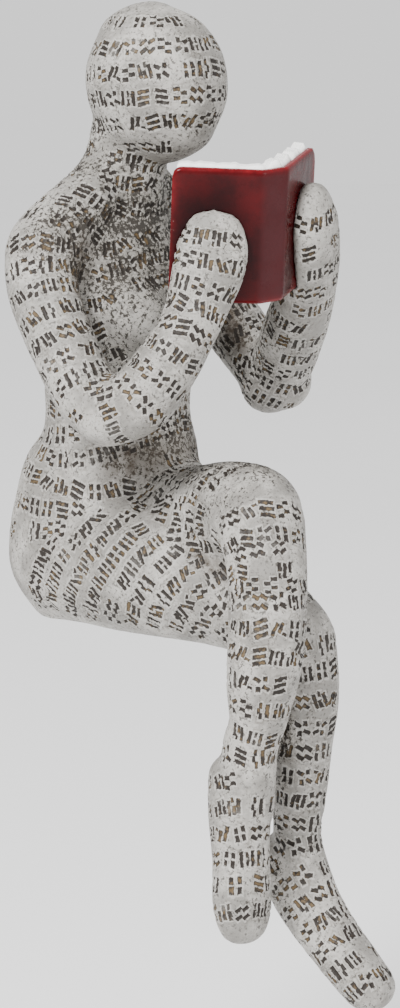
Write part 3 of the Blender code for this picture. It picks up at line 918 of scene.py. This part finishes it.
def red_cover():
    """Glossy dark red paint, brighter red along its edges with pale worn chips there, a painted highlight
    down its spine, and darker where it is shaded.
    """
    made, tree, shader, coords = new_material("red_cover")
    edge, shade = attribute(tree, "edge"), attribute(tree, "shade")
    cloud = grouped(tree, PATCHES, coords, Scale=160)
    # Painted highlight: a lighter pinkish-grey band down the spine, where the gloss catches the light.
    spine = grouped(tree, BROKEN, coords, attribute(tree, "spine"), Scale=220, Least=0.7)
    base = mix_colour(tree, cloud, (0.024, 0.0012, 0.0018), (0.054, 0.0020, 0.0030))
    base = mix_colour(tree, spine, base, (0.046, 0.0095, 0.0108))
    # The board edges are made brighter red, broken up in patches.
    worn = grouped(tree, BROKEN, coords, edge, Scale=700, Least=0.55)
    base = mix_colour(tree, worn, base, (0.16, 0.005, 0.008))
    chips = step_node(tree, noise_node(tree, coords, 1500, 2), 0.70, 0.74)
    chips = times(tree, chips, step_node(tree, edge, 0.3, 0.8))
    base = mix_colour(tree, chips, base, (0.45, 0.26, 0.24))
    base = mix_colour(tree, times(tree, shade, 0.93), base, (0.0045, 0.0004, 0.0006))
    tree.links.new(base, shader.inputs["Base Color"])
    tree.links.new(step_node(tree, cloud, 0.0, 1.0, 0.20, 0.34), shader.inputs["Roughness"])
    shader.inputs["Specular IOR Level"].default_value = 0.07
    tree.links.new(mix_value(tree, shade, 0.10, 0.0), shader.inputs["Coat Weight"])
    shader.inputs["Coat Roughness"].default_value = 0.14
    bumped(tree, shader, noise_node(tree, coords, 420, 3), 0.35, 0.0003)
    return made


def page_paint():
    """White painted leaves, with thin grey lines between them."""
    made, tree, shader, coords = new_material("page_paint")
    layer = attribute(tree, "layer")
    wobble = times(tree, noise_node(tree, coords, 500, 3), 0.9)
    leaves = math_node(tree, "FRACT", plus(tree, times(tree, layer, 9.0), wobble))
    gap = times(tree, step_node(tree, leaves, 0.0, 0.22, 1.0, 0.0), attribute(tree, "edge"))
    gap = grouped(tree, BROKEN, coords, gap, Scale=400, Least=0.6)
    cloud = grouped(tree, PATCHES, coords, Scale=300)
    base = mix_colour(tree, cloud, (0.90, 0.885, 0.86), (0.98, 0.975, 0.96))
    base = mix_colour(tree, times(tree, gap, 0.55), base, (0.42, 0.40, 0.37))
    tree.links.new(base, shader.inputs["Base Color"])
    tree.links.new(step_node(tree, cloud, 0.0, 1.0, 0.5, 0.62), shader.inputs["Roughness"])
    bumped(tree, shader, times(tree, gap, -1.0), 0.6, 0.0002)
    return made


def book_run(width):
    """Corners of the open cover in plan, in mm: free edge, two spine corners, free edge."""
    opening = math.radians(BOARD_OPENING)
    reach, rise, spine = width * math.cos(opening), width * math.sin(opening), SPINE_WIDTH
    return np.array([(-reach, rise), (0, 0), (spine, 0), (spine + reach, rise)])


def rounded_run(width, count, bend=0.8):
    """Points evenly along the cover's run with its two spine corners rounded by a bend, in mm."""
    corners = book_run(width)
    dense = []
    for i in range(3):
        t = np.linspace(0, 1, 200, endpoint=False)[:, None]
        dense.append(corners[i] * (1 - t) + corners[i + 1] * t)
    line = np.vstack(dense + [corners[-1:]])
    travelled = np.concatenate([[0], np.cumsum(np.linalg.norm(np.diff(line, axis=0), axis=1))])
    at = np.linspace(0, travelled[-1], count)
    soft = np.zeros((count, 2))
    weights = np.array([0.06, 0.12, 0.2, 0.24, 0.2, 0.12, 0.06])
    for offset, weight in zip(np.linspace(-bend, bend, 7), weights):
        reach = np.clip(np.minimum(at, travelled[-1] - at) / bend, 0, 1)
        where = np.clip(at + offset * reach, 0, travelled[-1])
        soft += weight * np.stack([np.interp(where, travelled, column) for column in line.T], -1)
    return soft, at / travelled[-1]


def sheet_sides(line):
    """Unit directions square to the line, towards the reader."""
    run = np.gradient(line, axis=0)
    run /= np.linalg.norm(run, axis=1, keepdims=True)
    return np.stack([-run[:, 1], run[:, 0]], -1)


def slab(name, width_at, outer, inner, low, high, across, tall, corner, ruffle=0.0):
    """A bent slab: a closed ring of outer face, top, inner face and bottom, carried along the cover's run.

    Its free corners are rounded by a corner radius, and ruffle lifts its top edge in small waves.
    """
    line, share = rounded_run(width_at, across)
    sides = sheet_sides(line)
    levels = np.linspace(0, 1, tall)
    thick = inner - outer
    through = np.array([0.3, 0.6, 0.9])
    depths = np.concatenate([np.zeros(tall), through, np.ones(tall), through[::-1]])
    climbs = np.concatenate([levels, np.ones(3), levels[::-1], np.zeros(3)])
    length = np.linalg.norm(np.diff(line, axis=0), axis=1).sum()
    reach = np.minimum(share, 1 - share) * length
    cut = corner - np.sqrt(np.maximum(corner**2 - np.maximum(corner - reach, 0) ** 2, 0))
    height = high - low
    top = high - cut[:, None]
    base = low + cut[:, None]
    z = base + (top - base) * climbs[None]
    wave = lattice_noise(np.outer(share * length, (1, 0, 0)), 1.0, 31) * (0.25 + 0.75 * (share > 0.5))
    z = z + ruffle * wave[:, None] * np.clip(climbs[None] - 0.6, 0, 1) / 0.4
    round_edge = 0.22 * np.minimum(1, np.exp(-np.minimum(climbs, 1 - climbs) * height / 0.35))
    offset = outer + thick * (depths * (1 - 2 * round_edge) + round_edge)
    flat = line[:, None] + sides[:, None] * offset[None, :, None]
    points = np.concatenate([flat, z[..., None]], -1)
    count = len(climbs)
    index = np.arange(across * count).reshape(across, count)
    ahead = np.roll(index, -1, axis=1)
    quads = np.stack([index[:-1], index[1:], ahead[1:], ahead[:-1]], -1).reshape(-1, 4)
    caps = []
    half = tall
    for i, row in enumerate((index[0], index[-1])):
        left = row[:half]
        right = row[half + 3:2 * half + 3][::-1]
        strip = np.stack([left[:-1], left[1:], right[1:], right[:-1]], -1)
        top_cap = [left[-1], *row[half:half + 3], right[-1]]
        low_cap = [right[0], *row[2 * half + 3:], left[0]]
        for face in [*strip.tolist(), top_cap, low_cap]:
            caps.append(face if i == 0 else face[::-1])
    points = points.reshape(-1, 3)
    free_edge = np.exp(-np.minimum(reach, 9)[:, None] / 0.8)
    edge = np.maximum(free_edge, np.exp(-np.minimum(z - low, high - z) / 0.4)).reshape(-1)
    layer = np.tile(depths, across)
    placed = points @ book_axes().T + BOOK_PLACE
    piece = mesh_object(name, placed * MM, [*quads.tolist(), *caps])
    store(piece.data, edge=edge, layer=layer)
    recalculated(piece)
    piece.data.shade_smooth()
    return piece, placed


def recalculated(piece):
    work = bmesh.new()
    work.from_mesh(piece.data)
    bmesh.ops.recalc_face_normals(work, faces=work.faces)
    work.to_mesh(piece.data)
    work.free()


def book():
    """The open book: one bent cover and the leaves inside it."""
    cover, placed = slab(
        "cover_boards", BOARD_WIDTH, 0.0, BOARD_THICKNESS, 0.0, BOOK_HEIGHT, *COVER_ROWS, BOARD_CORNER,
    )
    away = np.linalg.norm((placed - NEAR_HAND) * np.array([1, 1, 0.62]), axis=1)
    shade = np.exp(-(away / HAND_SHADE) ** 4)
    # spine marks the band down the spine that gets a painted highlight.
    along = ((placed - BOOK_PLACE) @ book_axes())[:, 0]
    spine = np.clip(along + 0.6, 0, 1) * np.clip(SPINE_WIDTH + 0.4 - along, 0, 1)
    store(cover.data, shade=shade, spine=spine)
    cover.data.materials.append(red_cover())
    inside = BOARD_THICKNESS + PAGE_GAP
    pages, _ = slab(
        "leaves", BOARD_WIDTH - PAGE_INSET, inside, inside + PAGE_THICKNESS, PAGE_FOOT,
        BOOK_HEIGHT + PAGE_RISE, *PAGE_ROWS, PAGE_CORNER, ruffle=PAGE_RUFFLE,
    )
    pages.data.materials.append(page_paint())
    return cover, pages


def camera():
    """Long lens from her right front, a little above: the back direction gives its place and turn."""
    azimuth, elevation = math.radians(VIEW_AZIMUTH), math.radians(VIEW_ELEVATION)
    data = bpy.data.cameras.new("camera")
    data.lens = LENS
    data.sensor_width = SENSOR
    data.clip_end = 100
    made = bpy.data.objects.new("camera", data)
    bpy.context.scene.collection.objects.link(made)
    level = math.cos(elevation)
    back = Vector((math.sin(azimuth) * level, -math.cos(azimuth) * level, math.sin(elevation)))
    turn = (-back).to_track_quat("-Z", "Y")
    right, up = turn @ Vector((1, 0, 0)), turn @ Vector((0, 1, 0))
    centre = right * (ORIGIN_RIGHT * PIXEL) + up * (ORIGIN_UP * PIXEL)
    made.location = centre + back * (LENS / SENSOR * PHOTO_HEIGHT * PIXEL)
    made.rotation_mode = "QUATERNION"
    made.rotation_quaternion = turn
    bpy.context.scene.camera = made


def soft_light(name, place, size, energy, target=(0, -0.02, 0.03)):
    data = bpy.data.lights.new(name, "AREA")
    data.shape = "DISK"
    data.size = size
    data.energy = energy
    made = bpy.data.objects.new(name, data)
    bpy.context.scene.collection.objects.link(made)
    made.location = place
    made.rotation_euler = (Vector(target) - Vector(place)).to_track_quat("-Z", "Y").to_euler()


def studio():
    """A pale floor well below the hanging feet, a pale world and two soft lights."""
    world = bpy.data.worlds.new("studio")
    bpy.context.scene.world = world
    world.use_nodes = True
    background = world.node_tree.nodes["Background"]
    background.inputs[0].default_value = (1, 1, 1, 1)
    background.inputs[1].default_value = 1.15
    soft_light("key", (-0.80, -0.10, 0.80), 0.35, 22.0)
    soft_light("fill", (-0.3, -1.0, 0.35), 0.6, 4.0)
    turn = np.linspace(0, 2 * math.pi, FLOOR_SIDES, endpoint=False)
    rim = FLOOR_RADIUS * np.stack([np.cos(turn), np.sin(turn), np.zeros(FLOOR_SIDES)], -1)
    faces = [[i, (i + 1) % FLOOR_SIDES, FLOOR_SIDES] for i in range(FLOOR_SIDES)]
    floor = mesh_object("floor", np.vstack([rim, np.zeros((1, 3))]) + (0, 0, FLOOR_LEVEL), faces)
    made, tree, shader, coords = new_material("pale_floor")
    shader.inputs["Roughness"].default_value = 0.9
    pale = mix_colour(tree, grouped(tree, PATCHES, coords, Scale=4), (0.93, 0.93, 0.93), (0.95, 0.95, 0.95))
    tree.links.new(pale, shader.inputs["Base Color"])
    floor.data.materials.append(made)


PATCHES = patches_group()
BROKEN = broken_group(PATCHES)
camera()
studio()
skin = woman()
skin.data.materials.append(aged_resin())
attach(skin, "root")
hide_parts("woman")
cover, pages = book()
for piece, node, slot in ((cover, "book_cover", "red_gloss"), (pages, "book_pages", "paper_white")):
    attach(piece, "root")
    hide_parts(node)
